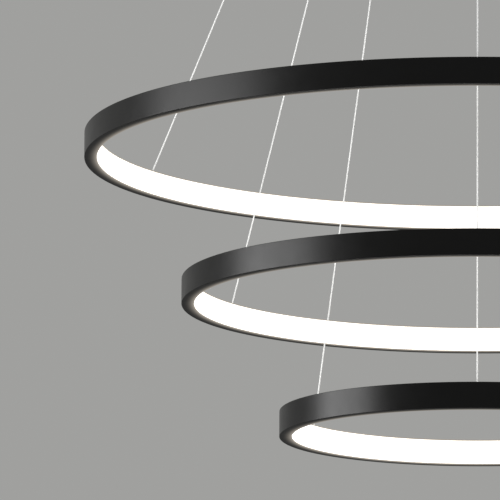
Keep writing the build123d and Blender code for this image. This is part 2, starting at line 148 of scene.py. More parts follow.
class CanopySizes(bpy.types.PropertyGroup):
    """The ceiling canopy, its bracket and what is screwed into it"""

    wall: length("Sheet", "Thickness of the canopy's sheet", 1.2)
    edge_radius: length("Edge radius", "Outer radius where the wall meets the underside", 4.0)
    rim_radius: length("Rim radius", "Rounding of the rim at the ceiling", 0.4)
    screw: length("Side screw", "Diameter of the cover's side screws", 4.0)
    screw_head: length("Screw head", "Diameter of their heads", 8.0)
    screw_play: length("Screw play", "Radial gap round a side screw in the cover", 0.15)
    bracket_sheet: length("Bracket sheet", "Thickness of the ceiling bracket", 2.0)
    bracket_fold: length("Bracket fold", "Inner radius of the bracket's folds", 1.5)
    ear_corner: length("Ear corner", "Rounding of the ears' corners", 4.0)
    ceiling_slot: length("Ceiling slot", "Width of the slots for the ceiling screws", 5.2)
    ceiling_slot_length: length("Slot length", "Length of those slots", 20.0)
    ceiling_slot_spacing: length("Slot spacing", "From one slot's middle to the other's", 100.0)
    supply_hole: length("Supply hole", "Diameter of the hole for the supply cable", 12.0)
    stud: length("Stud", "Diameter of the welded studs", 4.0)
    stud_length: length("Stud length", "Length of the welded studs", 8.0)
    stud_pitch: length("Stud pitch", "Pitch of the studs' thread", 0.7)
    stud_nut: length("Stud nut", "Across the flats of the studs' nuts", 7.0)
    stud_nut_height: length("Stud nut height", "Height of those nuts", 3.2)
    tab: length("Tab", "Length of the tabs that the studs hold", 10.0)
    tab_width: length("Tab width", "Width of the driver's tabs", 16.0)
    tab_sheet: length("Tab thickness", "Thickness of those tabs", 3.0)
    lug: length("Earth lug", "Diameter of the earth lead's lug", 9.0)
    lug_sheet: length("Lug thickness", "Thickness of that lug", 0.8)
    steps: IntProperty(name="Steps", description="Steps round the canopy", default=180, min=60, max=360)


class Finishes(bpy.types.PropertyGroup):
    """Colours of the pieces that show"""

    ring_black: colour("Ring black", "Satin black of the profiles", (0.002, 0.002, 0.002))
    ring_gloss: share("Ring roughness", "Roughness of the satin black", 0.32)
    ring_sheen: share("Ring sheen", "How strongly the satin black mirrors; 0.5 is plain lacquer", 0.2)
    flange_matt: share("Flange roughness", "Roughness of the profile's top and underside", 0.6)
    # painted glow: warm emission on the profile's lips that stands in for the diffuser's light on them
    painted_glow: share("Glow", "Light of the diffuser caught on the profile's lips", 0.35)
    painted_glow_reach: length("Glow reach", "How far from the lips it fades out", 12.0)
    canopy_black: colour("Canopy black", "Powder-coated black of the canopy", (0.01, 0.01, 0.01))
    light: colour("Light", "Colour of the lit diffuser", (1.0, 0.955, 0.9))
    light_strength: FloatProperty(name="Brightness", description="Brightness of the diffuser", default=1.4, min=0)
    wire: colour("Wire", "Tinned braid under a clear jacket", (0.85, 0.85, 0.84))
    nickel: colour("Nickel", "Plating of grippers and plungers", (0.66, 0.64, 0.6))


class Studio(bpy.types.PropertyGroup):
    """The plain studio round the chandelier"""

    wall: colour("Wall", "Grey behind the chandelier", (0.352, 0.352, 0.343))
    floor: colour("Floor", "Pale floor", (0.62, 0.62, 0.61))
    floor_drop: length("Floor drop", "From the ceiling to the floor", 2600)
    daylight: FloatProperty(name="Daylight", description="Even light from all round", default=0.4, min=0)
    side_lamp: FloatProperty(name="Side lamp", description="Power of the left softbox", default=185, unit="POWER")
    other_side: share("Other side", "Power of the right softbox, as a share of the left", 0.7)
    fill_lamp: FloatProperty(name="Fill lamp", description="Power of the front fill", default=60, unit="POWER")


# ---------------------------------------------------------------- places read from the frame
def ring_radius(ring):
    low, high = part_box(f"{ring}_profile")
    return (high.y - low.y) / 2


def ring_heights(ring):
    low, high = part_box(f"{ring}_profile")
    return low.z, high.z


def polar(radius, azimuth, z=0.0):
    return Vector((radius * cos(azimuth), radius * sin(azimuth), z))


def anchor(ring, side):
    """the middle of the ring's top where that wire goes in"""
    depth = bpy.context.scene.ring_sizes.depth
    return polar(ring_radius(ring) - depth / 2, SIDES[side], ring_heights(ring)[1])


def gripper_place(ring, side):
    """the axis of that wire's gripper, at the canopy's underside"""
    low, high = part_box(f"{ring}_plunger_front")
    circle = -(low.y + high.y) / 2
    return polar(circle, SIDES[side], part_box("canopy_cover")[0].z)


def nose_tip():
    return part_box("ring1_plunger_front")[0].z


def canopy_floor():
    """the upper side of the canopy's bottom sheet"""
    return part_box("canopy_cover")[0].z + bpy.context.scene.canopy_sizes.wall


def stud_places():
    """each welded stud's foot, and how far above it the nut sits, read from what the studs hold"""
    sizes = bpy.context.scene.canopy_sizes
    floor, half_tab, lug = canopy_floor(), sizes.tab / 2, sizes.lug / 2
    driver_low, driver_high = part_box("led_driver")
    driver_y = (driver_low.y + driver_high.y) / 2
    block_low, block_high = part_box("terminal_block")
    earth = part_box("earth_lead")[1]
    return [
        (Vector((driver_low.x + half_tab, driver_y, floor)), sizes.tab_sheet),
        (Vector((driver_high.x - half_tab, driver_y, floor)), sizes.tab_sheet),
        (Vector((block_high.x - half_tab, (block_low.y + block_high.y) / 2, floor)), sizes.tab_sheet),
        (Vector((earth.x - lug, earth.y - lug, floor)), sizes.lug_sheet),
    ]


def all_grippers():
    return [(ring, side) for ring in RINGS for side in SIDES]


# ---------------------------------------------------------------- modelling helpers
def deselect():
    bpy.ops.object.select_all(action="DESELECT")


def activate(piece):
    deselect()
    piece.select_set(True)
    bpy.context.view_layer.objects.active = piece


def edit(piece, mode="VERT"):
    activate(piece)
    bpy.ops.object.mode_set(mode="EDIT")
    bpy.ops.mesh.select_mode(type=mode)
    bpy.ops.mesh.select_all(action="DESELECT")


def leave_edit():
    bpy.ops.object.mode_set(mode="OBJECT")


def select_points(piece, test):
    """in edit mode, selects the vertices whose place in the frame passes the test"""
    mesh = bmesh.from_edit_mesh(piece.data)
    for vertex in mesh.verts:
        vertex.select_set(test(piece.matrix_world @ vertex.co))
    mesh.select_flush(True)
    bmesh.update_edit_mesh(piece.data)


def select_faces(piece, test):
    """in edit mode, selects the faces that pass the test"""
    mesh = bmesh.from_edit_mesh(piece.data)
    for face in mesh.faces:
        face.select_set(test(face))
    bmesh.update_edit_mesh(piece.data)


def named(piece, name):
    piece.name = name
    piece.data.name = name
    return piece


def outline(name, centre, points):
    """a line through (radius, height) points, in the upright plane through centre; left in edit mode"""
    radius, height = points[0]
    deselect()
    bpy.ops.mesh.primitive_plane_add(size=MM, location=(centre.x + radius, centre.y, centre.z + height))
    piece = named(bpy.context.object, name)
    edit(piece)
    bpy.ops.mesh.select_all(action="SELECT")
    bpy.ops.mesh.merge(type="CENTER")
    for (r0, z0), (r1, z1) in zip(points, points[1:]):
        bpy.ops.mesh.extrude_region_move(TRANSFORM_OT_translate={"value": (r1 - r0, 0, z1 - z0)})
    return piece


def fill_outline():
    bpy.ops.mesh.select_all(action="SELECT")
    bpy.ops.mesh.edge_face_add()


def round_corners(piece, centre, corners, radius, segments=3):
    """rounds the outline at the given (radius, height) corners"""
    places = [Vector((centre.x + r, centre.y, centre.z + z)) for r, z in corners]
    near = radius / 20
    select_points(piece, lambda point: any((point - place).length < near for place in places))
    bpy.ops.mesh.bevel(offset=radius, segments=segments, affect="VERTICES")


def turn(centre, steps, angle=tau):
    """turns the outline about the upright axis through centre, and closes seams and poles"""
    bpy.ops.mesh.select_all(action="SELECT")
    bpy.ops.mesh.spin(steps=steps, angle=angle, center=centre, axis=(0, 0, 1))
    bpy.ops.mesh.select_all(action="SELECT")
    bpy.ops.mesh.remove_doubles(threshold=MM / 500)
    bpy.ops.mesh.normals_make_consistent(inside=False)
    leave_edit()


def turned_ring(name, centre, points, corners, radius, steps):
    """a bored piece: the whole section is drawn, rounded at some corners and turned once round"""
    piece = outline(name, centre, [*points, points[0]])
    bpy.ops.mesh.select_all(action="SELECT")
    bpy.ops.mesh.remove_doubles(threshold=MM / 500)
    round_corners(piece, centre, corners, radius)
    turn(centre, steps)
    settle(piece)
    smooth(piece)
    return piece


def settle(piece):
    """puts the piece's place into its mesh, so that its object sits at the origin"""
    activate(piece)
    bpy.ops.object.transform_apply(location=True, rotation=True, scale=True)


def smooth(piece, angle=40):
    """smooth shading with flat faces kept flat beside their rounded edges"""
    activate(piece)
    bpy.ops.object.shade_smooth_by_angle(angle=radians(angle))
    bpy.ops.object.modifier_add(type="WEIGHTED_NORMAL")
    modifier = piece.modifiers[-1]
    modifier.keep_sharp = True
    bpy.ops.object.modifier_apply(modifier=modifier.name)


def cutter_rod(centre, radius, low, high, sides=32):
    deselect()
    middle = (centre.x, centre.y, (low + high) / 2)
    bpy.ops.mesh.primitive_cylinder_add(vertices=sides, radius=radius, depth=high - low, location=middle)
    return bpy.context.object


def cut(piece, cutters):
    """takes the cutters out of the piece"""
    activate(cutters[0])
    for cutter in cutters:
        cutter.select_set(True)
    if len(cutters) > 1:
        bpy.ops.object.join()
    tool = bpy.context.object
    settle(tool)
    activate(piece)
    bpy.ops.object.modifier_add(type="BOOLEAN")
    modifier = piece.modifiers[-1]
    modifier.operation = "DIFFERENCE"
    modifier.solver = "EXACT"
    modifier.object = tool
    bpy.ops.object.modifier_apply(modifier=modifier.name)
    bpy.data.objects.remove(tool)


def cutter_slot(centre, radius, stretch, low, high):
    """a rod pulled out along X to a round-ended slot"""
    rod = cutter_rod(centre, radius, low, high)
    edit(rod)
    for sign in (-1, 1):
        bpy.ops.mesh.select_all(action="DESELECT")
        select_points(rod, lambda point: sign * (point.x - centre.x) > radius / 100)
        bpy.ops.transform.translate(value=(sign * stretch / 2, 0, 0))
    leave_edit()
    return rod


def cutter_crossbar(centre, radius, reach):
    """a rod that lies along X, with its middle at centre"""
    deselect()
    bpy.ops.mesh.primitive_cylinder_add(
        vertices=32, radius=radius, depth=2 * reach, location=centre, rotation=(0, pi / 2, 0)
    )
    return bpy.context.object


def thread_points(radius, pitch, low, high):
    """the outline of a thread that starts at low and ends below high"""
    points = []
    height = low
    while height + pitch < high:
        points += [(radius, height), (radius - 0.6 * pitch, height + pitch / 2)]
        height += pitch
    return [*points, (radius, height)]


def hex_nut(name, centre, flats, height, bore):
    """a chamfered hexagon nut that stands on centre"""
    deselect()
    bpy.ops.mesh.primitive_cylinder_add(
        vertices=6, radius=flats / 2 / cos(pi / 6), depth=height,
        location=(centre.x, centre.y, centre.z + height / 2), rotation=(0, 0, pi / 6),
    )
    piece = named(bpy.context.object, name)
    settle(piece)
    edit(piece)
    bpy.ops.mesh.select_all(action="SELECT")
    bpy.ops.mesh.bevel(offset=flats / 26, segments=2, affect="EDGES")
    leave_edit()
    cut(piece, [cutter_rod(centre, bore, centre.z - MM, centre.z + height + MM)])
    smooth(piece, 35)
    return piece


def merged_copy(name, node):
    """a copy of a frame node as one closed mesh, free of the node's body"""
    activate(frame["nodes"][node])
    bpy.ops.object.duplicate(linked=False)
    piece = named(bpy.context.object, name)
    bpy.ops.object.parent_clear(type="CLEAR_KEEP_TRANSFORM")
    for key in list(piece.keys()):
        del piece[key]
    edit(piece)
    bpy.ops.mesh.select_all(action="SELECT")
    bpy.ops.mesh.remove_doubles(threshold=MM / 500)
    bpy.ops.mesh.dissolve_limited(angle_limit=radians(0.5))
    leave_edit()
    return piece


def round_edges(piece, radius, segments=2, angle=35):
    """rounds every edge sharper than the angle"""
    activate(piece)
    bpy.ops.object.modifier_add(type="BEVEL")
    modifier = piece.modifiers[-1]
    modifier.width = radius
    modifier.segments = segments
    modifier.limit_method = "ANGLE"
    modifier.angle_limit = radians(angle)
    bpy.ops.object.modifier_apply(modifier=modifier.name)


def copy_of(piece, name, shift):
    """a twin with its own mesh, moved by shift"""
    activate(piece)
    bpy.ops.object.duplicate(linked=False)
    twin = named(bpy.context.object, name)
    bpy.ops.transform.translate(value=shift)
    settle(twin)
    return twin


def place_on(piece, body, slot, finish, *nodes):
    """the piece rides on the body, wears the finish and stands for the nodes"""
    piece.data.materials.clear()
    piece.data.materials.append(finish)
    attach(piece, body)
    if nodes:
        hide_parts(*nodes)


# ---------------------------------------------------------------- finishes
def add_node(tree, kind, inputs=None, **settings):
    """adds a shader node; an input's value is a number, a colour or another node's output"""
    node = tree.nodes.new(kind)
    for name, value in settings.items():
        setattr(node, name, value)
    for name, value in (inputs or {}).items():
        if isinstance(value, bpy.types.NodeSocket):
            tree.links.new(value, node.inputs[name])
        else:
            node.inputs[name].default_value = value
    return node


def new_finish(name, **sockets):
    """a new material whose shader has the given even values, with its node tree and shader"""
    material = bpy.data.materials.new(name)
    material.use_nodes = True
    shader = material.node_tree.nodes["Principled BSDF"]
    for socket, value in sockets.items():
        shader.inputs[socket.replace("_", " ")].default_value = value
    return material, material.node_tree, shader


def opaque(rgb):
    return (*rgb, 1.0)


def object_place(tree):
    return add_node(tree, "ShaderNodeTexCoord").outputs["Object"]


def noise(tree, place, scale, detail=2.0, roughness=0.5):
    inputs = {"Vector": place, "Scale": scale, "Detail": detail, "Roughness": roughness}
    return add_node(tree, "ShaderNodeTexNoise", inputs).outputs["Fac"]


def lines_by_height(tree, place, scale):
    """fine uneven lines at constant height, as drawing or turning leaves them"""
    height = add_node(tree, "ShaderNodeSeparateXYZ", {"Vector": place}).outputs["Z"]
    return add_node(
        tree, "ShaderNodeTexNoise", {"W": height, "Scale": scale, "Detail": 1.0}, noise_dimensions="1D"
    ).outputs["Fac"]


def spread(tree, factor, low, high):
    """maps a noise to the range low to high"""
    inputs = {"Value": factor, "From Min": 0.3, "From Max": 0.7, "To Min": low, "To Max": high}
    return add_node(tree, "ShaderNodeMapRange", inputs).outputs["Result"]


def blend_colours(tree, factor, first, second):
    node = add_node(tree, "ShaderNodeMix", data_type="RGBA")
    tree.links.new(factor, node.inputs["Factor"])
    node.inputs[6].default_value = opaque(first)
    node.inputs[7].default_value = opaque(second)
    return node.outputs[2]


def bump(tree, shader, height, depth, strength=1.0):
    node = add_node(tree, "ShaderNodeBump", {"Height": height, "Distance": depth, "Strength": strength})
    tree.links.new(node.outputs["Normal"], shader.inputs["Normal"])


def tone(rgb, factor):
    return tuple(min(1.0, channel * factor) for channel in rgb)


def satin_black(name, rgb, roughness, grain_scale, grain_depth):
    """black coat over extruded or spun metal: fine grain, faint lines along the metal, uneven sheen"""
    material, tree, shader = new_finish(name)
    place = object_place(tree)
    cloud = noise(tree, place, 60.0, 3.0)
    tree.links.new(blend_colours(tree, cloud, tone(rgb, 0.85), tone(rgb, 1.2)), shader.inputs["Base Color"])
    tree.links.new(spread(tree, cloud, roughness - 0.02, roughness + 0.02), shader.inputs["Roughness"])
    grain = noise(tree, place, grain_scale, 2.0)
    lines = lines_by_height(tree, place, 2500.0)
    relief = add_node(tree, "ShaderNodeMath", {0: lines, 1: 0.25, 2: grain}, operation="MULTIPLY_ADD")
    bump(tree, shader, relief.outputs["Value"], grain_depth, 0.35)
    return material


def ring_finish():
    """satin black wall, matt black flanges, and a warm glow of the diffuser's light painted as emission on the lips
    beside it
    """
    finishes = bpy.context.scene.finishes
    depth = bpy.context.scene.ring_sizes.depth
    gloss = finishes.ring_gloss
    material = satin_black("ring_finish", tuple(finishes.ring_black), gloss, 2200.0, 0.004 * MM)
    tree = material.node_tree
    shader = tree.nodes["Principled BSDF"]
    normal = add_node(tree, "ShaderNodeTexCoord").outputs["Normal"]
    upright = add_node(tree, "ShaderNodeSeparateXYZ", {"Vector": normal}).outputs["Z"]
    level = add_node(tree, "ShaderNodeMath", {0: upright}, operation="ABSOLUTE").outputs["Value"]
    inputs = {"Value": level, "From Min": 0.5, "From Max": 0.95, "To Max": finishes.flange_matt - gloss}
    matt = add_node(tree, "ShaderNodeMapRange", inputs).outputs["Result"]
    uneven = shader.inputs["Roughness"].links[0].from_socket
    rough = add_node(tree, "ShaderNodeMath", {0: uneven, 1: matt}).outputs["Value"]
    tree.links.new(rough, shader.inputs["Roughness"])
    # painted glow: warm emission on the black profile, full at the lips and fading out towards the outer wall,
    # standing in for the diffuser's light
    from_lip = add_node(tree, "ShaderNodeAttribute", attribute_name="from_lip").outputs["Fac"]
    inputs = {"Value": from_lip, "From Max": finishes.painted_glow_reach / depth, "To Min": 1.0, "To Max": 0.0}
    near = add_node(tree, "ShaderNodeMapRange", inputs).outputs["Result"]
    fading = add_node(tree, "ShaderNodeMath", {0: near, 1: 3.0}, operation="POWER").outputs["Value"]
    painted_glow = add_node(tree, "ShaderNodeMath", {0: fading, 1: finishes.painted_glow}, operation="MULTIPLY").outputs["Value"]
    shader.inputs["Specular IOR Level"].default_value = finishes.ring_sheen
    # warm tint of the painted glow
    shader.inputs["Emission Color"].default_value = (1.0, 0.9, 0.77, 1.0)
    tree.links.new(painted_glow, shader.inputs["Emission Strength"])
    return material


def opal_light(ring):
    """lit opal plastic: even white, dimmer and warmer in its last two millimetres"""
    finishes = bpy.context.scene.finishes
    material, tree, shader = new_finish(f"opal_diffuser_{ring}", Base_Color=(0.85, 0.84, 0.82, 1), Roughness=0.5)
    low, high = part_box(f"{ring}_diffuser")
    middle, half = (low.z + high.z) / 2, (high.z - low.z) / 2
    height = add_node(tree, "ShaderNodeSeparateXYZ", {"Vector": object_place(tree)}).outputs["Z"]
    away = add_node(tree, "ShaderNodeMath", {0: height, 1: middle}, operation="SUBTRACT").outputs["Value"]
    away = add_node(tree, "ShaderNodeMath", {0: away}, operation="ABSOLUTE").outputs["Value"]
    inputs = {"Value": away, "From Min": half - 2.2 * MM, "From Max": half, "To Min": 0.0, "To Max": 1.0}
    edge = add_node(tree, "ShaderNodeMapRange", inputs, interpolation_type="SMOOTHSTEP").outputs["Result"]
    inputs = {"Value": edge, "To Min": finishes.light_strength, "To Max": finishes.light_strength * 0.65}
    strength = add_node(tree, "ShaderNodeMapRange", inputs).outputs["Result"]
    light = tuple(finishes.light)
    warm = (light[0], light[1] * 0.93, light[2] * 0.82)
    tree.links.new(blend_colours(tree, edge, light, warm), shader.inputs["Emission Color"])
    face = lit_face(tree, ring)
    lit = add_node(tree, "ShaderNodeMath", {0: strength, 1: face}, operation="MULTIPLY").outputs["Value"]
    tree.links.new(lit, shader.inputs["Emission Strength"])
    return material


def lit_face(tree, ring):
    """1 on the face towards the ring's middle, 0 on the back and the legs inside the profile"""
    sizes = bpy.context.scene.ring_sizes
    flat = add_node(tree, "ShaderNodeVectorMath", {0: object_place(tree), 1: (1, 1, 0)}, operation="MULTIPLY")
    out = add_node(tree, "ShaderNodeVectorMath", {0: flat.outputs["Vector"]}, operation="LENGTH").outputs["Value"]
    depth = ring_radius(ring) - sizes.depth + sizes.diffuser_face / 2
    return add_node(tree, "ShaderNodeMath", {0: out, 1: depth}, operation="LESS_THAN").outputs["Value"]


def plated(name, rgb, roughness, line_scale=2500.0):
    """turned and plated metal: fine rings from the tool, uneven shine"""
    material, tree, shader = new_finish(name, Metallic=1.0)
    place = object_place(tree)
    cloud = noise(tree, place, 300.0, 3.0)
    lines = lines_by_height(tree, place, line_scale)
    tree.links.new(blend_colours(tree, cloud, tone(rgb, 0.93), tone(rgb, 1.05)), shader.inputs["Base Color"])
    tree.links.new(spread(tree, cloud, roughness - 0.02, roughness + 0.03), shader.inputs["Roughness"])
    bump(tree, shader, lines, 0.004 * MM)
    return material


def galvanised(name, rgb, roughness):
    """zinc-coated steel with a soft spangle"""
    material, tree, shader = new_finish(name, Metallic=1.0)
    place = object_place(tree)
    cells = add_node(tree, "ShaderNodeTexVoronoi", {"Vector": place, "Scale": 350.0}).outputs["Color"]
    grey = add_node(tree, "ShaderNodeRGBToBW", {"Color": cells}).outputs["Val"]
    tree.links.new(blend_colours(tree, grey, tone(rgb, 0.85), tone(rgb, 1.1)), shader.inputs["Base Color"])
    tree.links.new(spread(tree, grey, roughness - 0.06, roughness + 0.08), shader.inputs["Roughness"])
    bump(tree, shader, noise(tree, place, 1500.0), 0.004 * MM)
    return material


def moulded(name, rgb, roughness, grain_scale=1800.0, grain_depth=0.01):
    """moulded plastic with a fine even grain"""
    material, tree, shader = new_finish(name)
    place = object_place(tree)
    cloud = noise(tree, place, 120.0, 2.0)
    tree.links.new(blend_colours(tree, cloud, tone(rgb, 0.95), tone(rgb, 1.04)), shader.inputs["Base Color"])
    tree.links.new(spread(tree, cloud, roughness - 0.04, roughness + 0.04), shader.inputs["Roughness"])
    bump(tree, shader, noise(tree, place, grain_scale), grain_depth * MM)
    return material


def wire_jacket():
    """tinned braid that shows through a thin clear jacket"""
    rgb = tuple(bpy.context.scene.finishes.wire)
    material, tree, shader = new_finish("wire_jacket", Roughness=0.5)
    place = object_place(tree)
    height = add_node(tree, "ShaderNodeSeparateXYZ", {"Vector": place}).outputs["Z"]
    lay = add_node(tree, "ShaderNodeMath", {0: height, 1: tau / (1.6 * MM)}, operation="MULTIPLY")
    wave = add_node(tree, "ShaderNodeMath", {0: lay.outputs["Value"]}, operation="SINE").outputs["Value"]
    wave = add_node(tree, "ShaderNodeMapRange", {"Value": wave, "From Min": -1.0}).outputs["Result"]
    tree.links.new(blend_colours(tree, wave, tone(rgb, 0.97), tone(rgb, 1.0)), shader.inputs["Base Color"])
    bump(tree, shader, wave, 0.004 * MM)
    return material


def striped_earth():
    """green jacket with a yellow stripe along it"""
    material, tree, shader = new_finish("earth_jacket", Roughness=0.4)
    place = object_place(tree)
    parts = add_node(tree, "ShaderNodeSeparateXYZ", {"Vector": place}).outputs
    across = add_node(tree, "ShaderNodeMath", {0: parts["X"], 1: parts["Y"]}, operation="ADD").outputs["Value"]
    inputs = {0: across, 1: tau / (5.0 * MM)}
    turns = add_node(tree, "ShaderNodeMath", inputs, operation="MULTIPLY").outputs["Value"]
    wave = add_node(tree, "ShaderNodeMath", {0: turns}, operation="SINE").outputs["Value"]
    stripe = add_node(tree, "ShaderNodeMath", {0: wave, 1: 0.2}, operation="GREATER_THAN").outputs["Value"]
    colours = blend_colours(tree, stripe, (0.02, 0.22, 0.04), (0.75, 0.6, 0.03))
    lug_top = canopy_floor() + bpy.context.scene.canopy_sizes.lug_sheet * 1.05
    lug = add_node(tree, "ShaderNodeMath", {0: parts["Z"], 1: lug_top}, operation="LESS_THAN").outputs["Value"]
    tinned = blend_colours(tree, lug, (0, 0, 0), (0.74, 0.73, 0.7))
    tree.links.new(colours, tinned.node.inputs[6])
    tree.links.new(tinned, shader.inputs["Base Color"])
    tree.links.new(lug, shader.inputs["Metallic"])
    return material


def supply_pair():
    """two mains leads: blue beside brown, told apart by where they lie"""
    material, tree, shader = new_finish("supply_jacket", Roughness=0.38)
    low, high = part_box("supply_leads")
    place = object_place(tree)
    parts = add_node(tree, "ShaderNodeSeparateXYZ", {"Vector": place}).outputs
    run = (high.x - low.x) / (high.y - low.y)
    inputs = {0: parts["Y"], 1: run, 2: parts["X"]}
    across = add_node(tree, "ShaderNodeMath", inputs, operation="MULTIPLY_ADD").outputs["Value"]
    middle = (low.x + high.x) / 2 + run * (low.y + high.y) / 2
    brown = add_node(tree, "ShaderNodeMath", {0: across, 1: middle}, operation="GREATER_THAN").outputs["Value"]
    cloud = noise(tree, place, 900.0)
    tree.links.new(blend_colours(tree, brown, (0.02, 0.07, 0.4), (0.16, 0.06, 0.02)), shader.inputs["Base Color"])
    bump(tree, shader, cloud, 0.01 * MM)
    return material


def make_finishes():
    finishes = bpy.context.scene.finishes
    return {
        "ring_finish": ring_finish(),
        "canopy_finish": satin_black("canopy_finish", tuple(finishes.canopy_black), 0.42, 900.0, 0.012 * MM),
        "wire_jacket": wire_jacket(),
        "nickel": plated("nickel", tuple(finishes.nickel), 0.24),
        "bare_aluminium": plated("bare_aluminium", (0.78, 0.78, 0.77), 0.36),
        "black_screw": plated("black_screw", (0.035, 0.035, 0.038), 0.36),
        "zinc_steel": galvanised("zinc_steel", (0.62, 0.64, 0.66), 0.36),
        "white_plastic": moulded("white_plastic", (0.8, 0.8, 0.78), 0.42),
        "driver_case": moulded("driver_case", (0.7, 0.7, 0.69), 0.5, 1200.0, 0.02),
        "lead_jacket": moulded("lead_jacket", (0.72, 0.72, 0.7), 0.36),
        "crimp_sleeve": moulded("crimp_sleeve", (0.02, 0.1, 0.42), 0.32),
        "flex_board": moulded("flex_board", (0.82, 0.8, 0.74), 0.4),
        "led_chip": moulded("led_chip", (0.85, 0.66, 0.16), 0.3),
        "supply_jacket": supply_pair(),
        "earth_jacket": striped_earth(),
    }


def finish(name):
    """the finish of that record slot, made on first use"""
    if name not in bpy.data.materials or not bpy.data.materials[name].get("made_here"):
        for slot, material in make_finishes().items():
            old = bpy.data.materials.get(slot)
            if old is not None and old is not material:
                old.name = slot + "_plain"
            material.name = slot
            material["made_here"] = True
    return bpy.data.materials[name]


# ---------------------------------------------------------------- one operator for each group of pieces
class CHANDELIER_OT_ring_profiles(bpy.types.Operator):
    """Rolls the three black channel profiles, with the holes in their tops"""

    bl_idname = "chandelier.ring_profiles"
    bl_label = "Ring profiles"

    def execute(self, context):
        for ring in RINGS:
            self.roll(context, ring)
        return {"FINISHED"}

    def section(self, sizes, radius, height):
        """the open channel, lit side inwards, from its upper lip round to its upper lip"""
        inner = radius - sizes.depth
        wall = radius - sizes.web
        rib = inner + sizes.diffuser_face + sizes.diffuser_leg
        rib_end = rib + sizes.rib
        roof = -sizes.flange
        ground = sizes.flange - height
        return [
            (inner, 0), (radius, 0), (radius, -height), (inner, -height), (inner, ground),
            (rib, ground), (rib, ground + sizes.rib), (rib_end, ground + sizes.rib), (rib_end, ground),
            (wall, ground), (wall, roof),
            (rib_end, roof), (rib_end, roof - sizes.rib), (rib, roof - sizes.rib), (rib, roof), (inner, roof),
        ]

    def roll(self, context, ring):
        sizes, fittings = context.scene.ring_sizes, context.scene.fitting_sizes
        radius = ring_radius(ring)
        low, top = ring_heights(ring)
        centre = Vector((0, 0, top))
        points = self.section(sizes, radius, top - low)
        piece = outline(f"{ring}_rolled_profile", centre, points)
        fill_outline()
        round_corners(piece, centre, points[1:3], sizes.edge_radius, 5)
        lips = [points[0], points[3], points[4], points[15]]
        round_corners(piece, centre, lips, sizes.lip_radius, 2)
        gap = sizes.butt_gap / radius
        turn(centre, sizes.steps, tau - gap)
        settle(piece)
        piece.rotation_euler.z = gap / 2
        settle(piece)
        cutters = [
            cutter_rod(anchor(ring, side), fittings.bush_neck / 2 + fittings.fit_play, top - 3 * MM, top + 3 * MM)
            for side in SIDES
        ]
        for place in splice_screw_places(ring):
            bore = fittings.splice_screw / 2 + fittings.fit_play
            cutters.append(cutter_rod(place, bore, top - 3 * MM, top + 3 * MM, 24))
        cut(piece, cutters)
        smooth(piece)
        self.mark_lips(piece, radius, sizes.depth)
        place_on(piece, ring, "ring_finish", finish("ring_finish"), f"{ring}_profile")

    def mark_lips(self, piece, radius, depth):
        """stores each point's way from the lips to the outer wall, 0 to 1, for the finish's painted glow to read"""
        way = piece.data.attributes.new("from_lip", "FLOAT", "POINT")
        for vertex in piece.data.vertices:
            out = sqrt(vertex.co.x ** 2 + vertex.co.y ** 2)
            way.data[vertex.index].value = (out - radius + depth) / depth


class CHANDELIER_OT_diffusers(bpy.types.Operator):
    """Makes the three lit opal diffusers that close the profiles"""

    bl_idname = "chandelier.diffusers"
    bl_label = "Diffusers"

    def execute(self, context):
        sizes = context.scene.ring_sizes
        for ring in RINGS:
            low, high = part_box(f"{ring}_diffuser")
            inner = ring_radius(ring) - sizes.depth
            leg_end = inner + sizes.diffuser_face + sizes.diffuser_leg
            back = inner + sizes.diffuser_face
            height = high.z - low.z
            leg = sizes.diffuser_leg_wall
            points = [
                (inner, 0), (leg_end, 0), (leg_end, -leg), (back, -leg),
                (back, leg - height), (leg_end, leg - height), (leg_end, -height), (inner, -height),
            ]
            centre = Vector((0, 0, high.z))
            corners = [points[0], points[-1]]
            name = f"{ring}_opal_diffuser"
            piece = turned_ring(name, centre, points, corners, sizes.diffuser_edge, sizes.steps)
            place_on(piece, ring, "opal_diffuser", opal_light(ring), f"{ring}_diffuser")
        return {"FINISHED"}


def splice_screw_places(ring):
    """the screws beside the butt joint, read from the frame's box of them"""
    low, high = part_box(f"{ring}_splice_screws")
    head = bpy.context.scene.fitting_sizes.splice_screw_head
    reach = high.y - head / 2
    inset = 7.0 * MM
    middle = high.x - head / 2
    radius = sqrt(middle ** 2 + inset ** 2)
    steps = (-reach, -inset, inset, reach)
    top = ring_heights(ring)[1]
    return [Vector((sqrt(radius ** 2 - step ** 2), step, top)) for step in steps]


